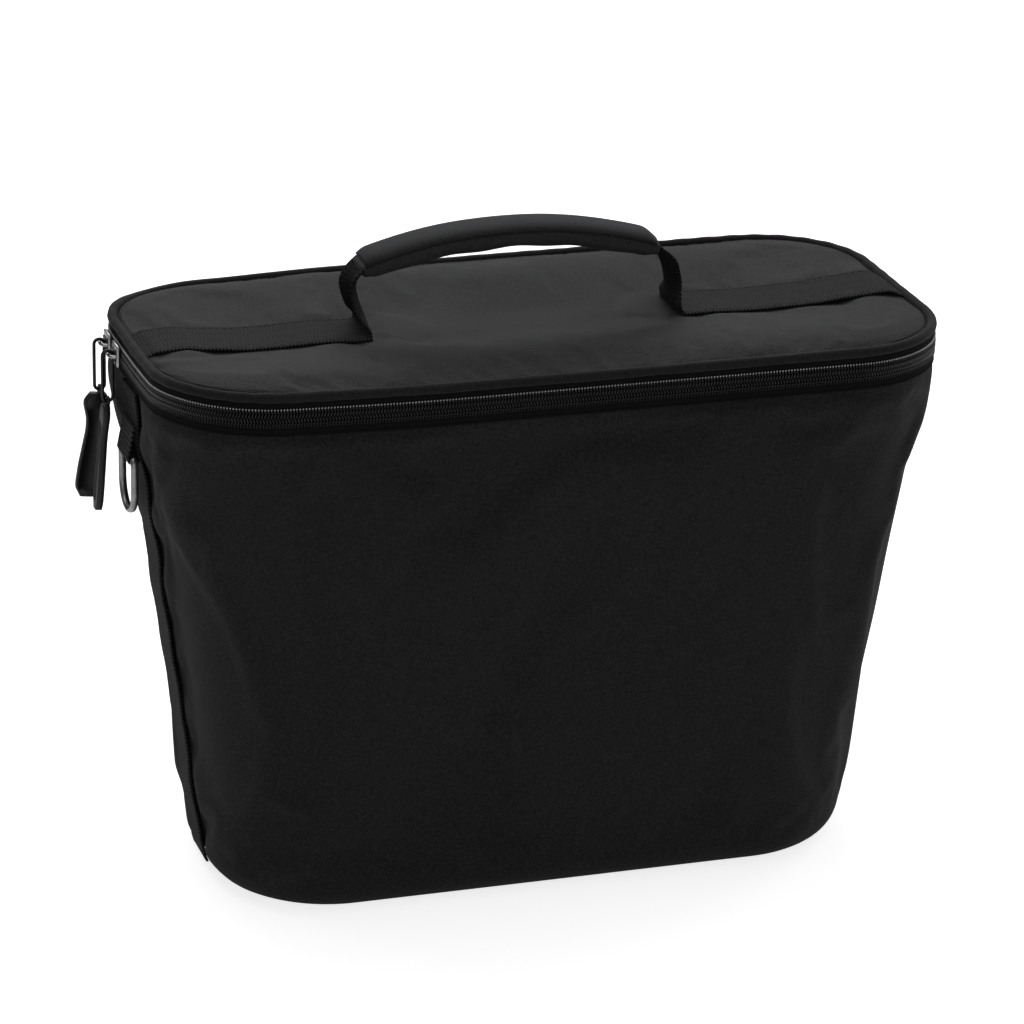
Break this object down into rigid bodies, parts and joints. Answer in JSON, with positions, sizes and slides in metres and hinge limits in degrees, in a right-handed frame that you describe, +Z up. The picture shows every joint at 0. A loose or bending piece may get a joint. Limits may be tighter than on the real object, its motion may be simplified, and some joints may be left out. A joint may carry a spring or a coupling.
{
  "type": "padded carry bag",
  "caption": "Black padded fabric carry bag with tapered rounded sides, a zip-round hinged lid, webbing top handle, zip sliders with moulded pull tabs and D-rings on the ends.",
  "frame": {"origin": "middle of the base's underside", "axes": "+Z up, +X along the long side towards the right end, front face at -Y, hinge along the back at +Y"},
  "size_m": [0.4035, 0.182, 0.3125],
  "materials": {
    "shell_fabric": "coated woven nylon, black",
    "base_fabric": "coated woven nylon, black",
    "lid_fabric": "woven nylon, charcoal",
    "piping_fabric": "folded nylon bias strip",
    "lining_fabric": "light woven lining",
    "binding": "ribbed binding tape",
    "grip_fabric": "woven nylon, charcoal",
    "webbing": "woven strap, chevron face",
    "zip_tape": "twill tape",
    "zip_coil": "nylon coil",
    "zip_stop": "moulded",
    "foam": "closed-cell foam",
    "board": "stiffener sheet",
    "cord": "extruded cord",
    "ring_metal": "satin, dark nickel",
    "slider_metal": "polished nickel",
    "wire_metal": "polished wire",
    "tab_plastic": "soft-touch moulding, satin"
  },
  "bodies": {
    "bag": {"front_panel": "shell_fabric", "back_panel": "shell_fabric", "base_panel": "base_fabric", "front_foam": "foam", "back_foam": "foam", "left_foam": "foam", "right_foam": "foam", "base_foam": "foam", "base_board": "board", "inner_lining": "lining_fabric", "base_lining": "lining_fabric", "rim_binding": "binding", "hinge_tape": "shell_fabric", "zip_teeth_lower": "zip_coil", "zip_tape_lower": "zip_tape", "zip_stop_left": "zip_stop", "zip_stop_right": "zip_stop", "side_strap_left": "webbing", "ring_loop_left": "webbing", "side_strap_right": "webbing", "ring_loop_right": "webbing"},
    "lid": {"lid_lining": "lining_fabric", "lid_board": "board", "lid_foam": "foam", "lid_cover": "lid_fabric", "lid_piping": "piping_fabric", "piping_cord": "cord", "zip_tape_upper": "zip_tape", "zip_teeth_upper": "zip_coil", "lid_strap_left": "webbing", "lid_strap_right": "webbing"},
    "handle": {"handle_strap": "webbing", "handle_foam": "foam", "handle_grip": "grip_fabric"},
    "front_slider_body": {"front_slider": "slider_metal"},
    "rear_slider_body": {"rear_slider": "slider_metal"},
    "front_ring_body": {"front_pull_ring": "wire_metal"},
    "rear_ring_body": {"rear_pull_ring": "wire_metal"},
    "front_tab_body": {"front_pull_tab": "tab_plastic"},
    "rear_tab_body": {"rear_pull_tab": "tab_plastic"},
    "left_dring_body": {"d_ring_left": "ring_metal"},
    "right_dring_body": {"d_ring_right": "ring_metal"}
  },
  "joints": [
    {"name": "lid_hinge", "type": "hinge", "parent": "bag", "child": "lid", "pos_m": [0, 0.091, 0.2533], "axis": [-1, 0, 0], "range_deg": [0, 150]},
    {"name": "handle_tilt", "type": "hinge", "parent": "lid", "child": "handle", "pos_m": [0, 0, 0.2651], "axis": [1, 0, 0], "range_deg": [-40, 40]},
    {"name": "front_slider_travel", "type": "slide", "parent": "bag", "child": "front_slider_body", "axis": [0, -1, 0], "range_m": [0, 0.051]},
    {"name": "rear_slider_travel", "type": "hinge", "parent": "bag", "child": "rear_slider_body", "pos_m": [-0.136, 0.037, 0.2533], "axis": [0, 0, -1], "range_deg": [0, 46]},
    {"name": "front_ring_swing", "type": "hinge", "parent": "front_slider_body", "child": "front_ring_body", "pos_m": [-0.1953, 0.0196, 0.2533], "axis": [0, 1, 0], "range_deg": [0, 100]},
    {"name": "rear_ring_swing", "type": "hinge", "parent": "rear_slider_body", "child": "rear_ring_body", "pos_m": [-0.1953, 0.037, 0.2533], "axis": [0, 1, 0], "range_deg": [0, 60]},
    {"name": "front_tab_swing", "type": "hinge", "parent": "front_ring_body", "child": "front_tab_body", "pos_m": [-0.1953, 0.0196, 0.2306], "axis": [-0.9945, 0, 0.1045], "range_deg": [0, 60]},
    {"name": "rear_tab_swing", "type": "hinge", "parent": "rear_ring_body", "child": "rear_tab_body", "pos_m": [-0.1953, 0.037, 0.2306], "axis": [0.9848, 0, -0.1736], "range_deg": [0, 60]},
    {"name": "left_dring_swing", "type": "hinge", "parent": "bag", "child": "left_dring_body", "pos_m": [-0.19029, 0, 0.212], "axis": [0, 1, 0], "range_deg": [0, 150]},
    {"name": "right_dring_swing", "type": "hinge", "parent": "bag", "child": "right_dring_body", "pos_m": [0.19029, 0, 0.212], "axis": [0, -1, 0], "range_deg": [0, 150]}
  ]
}
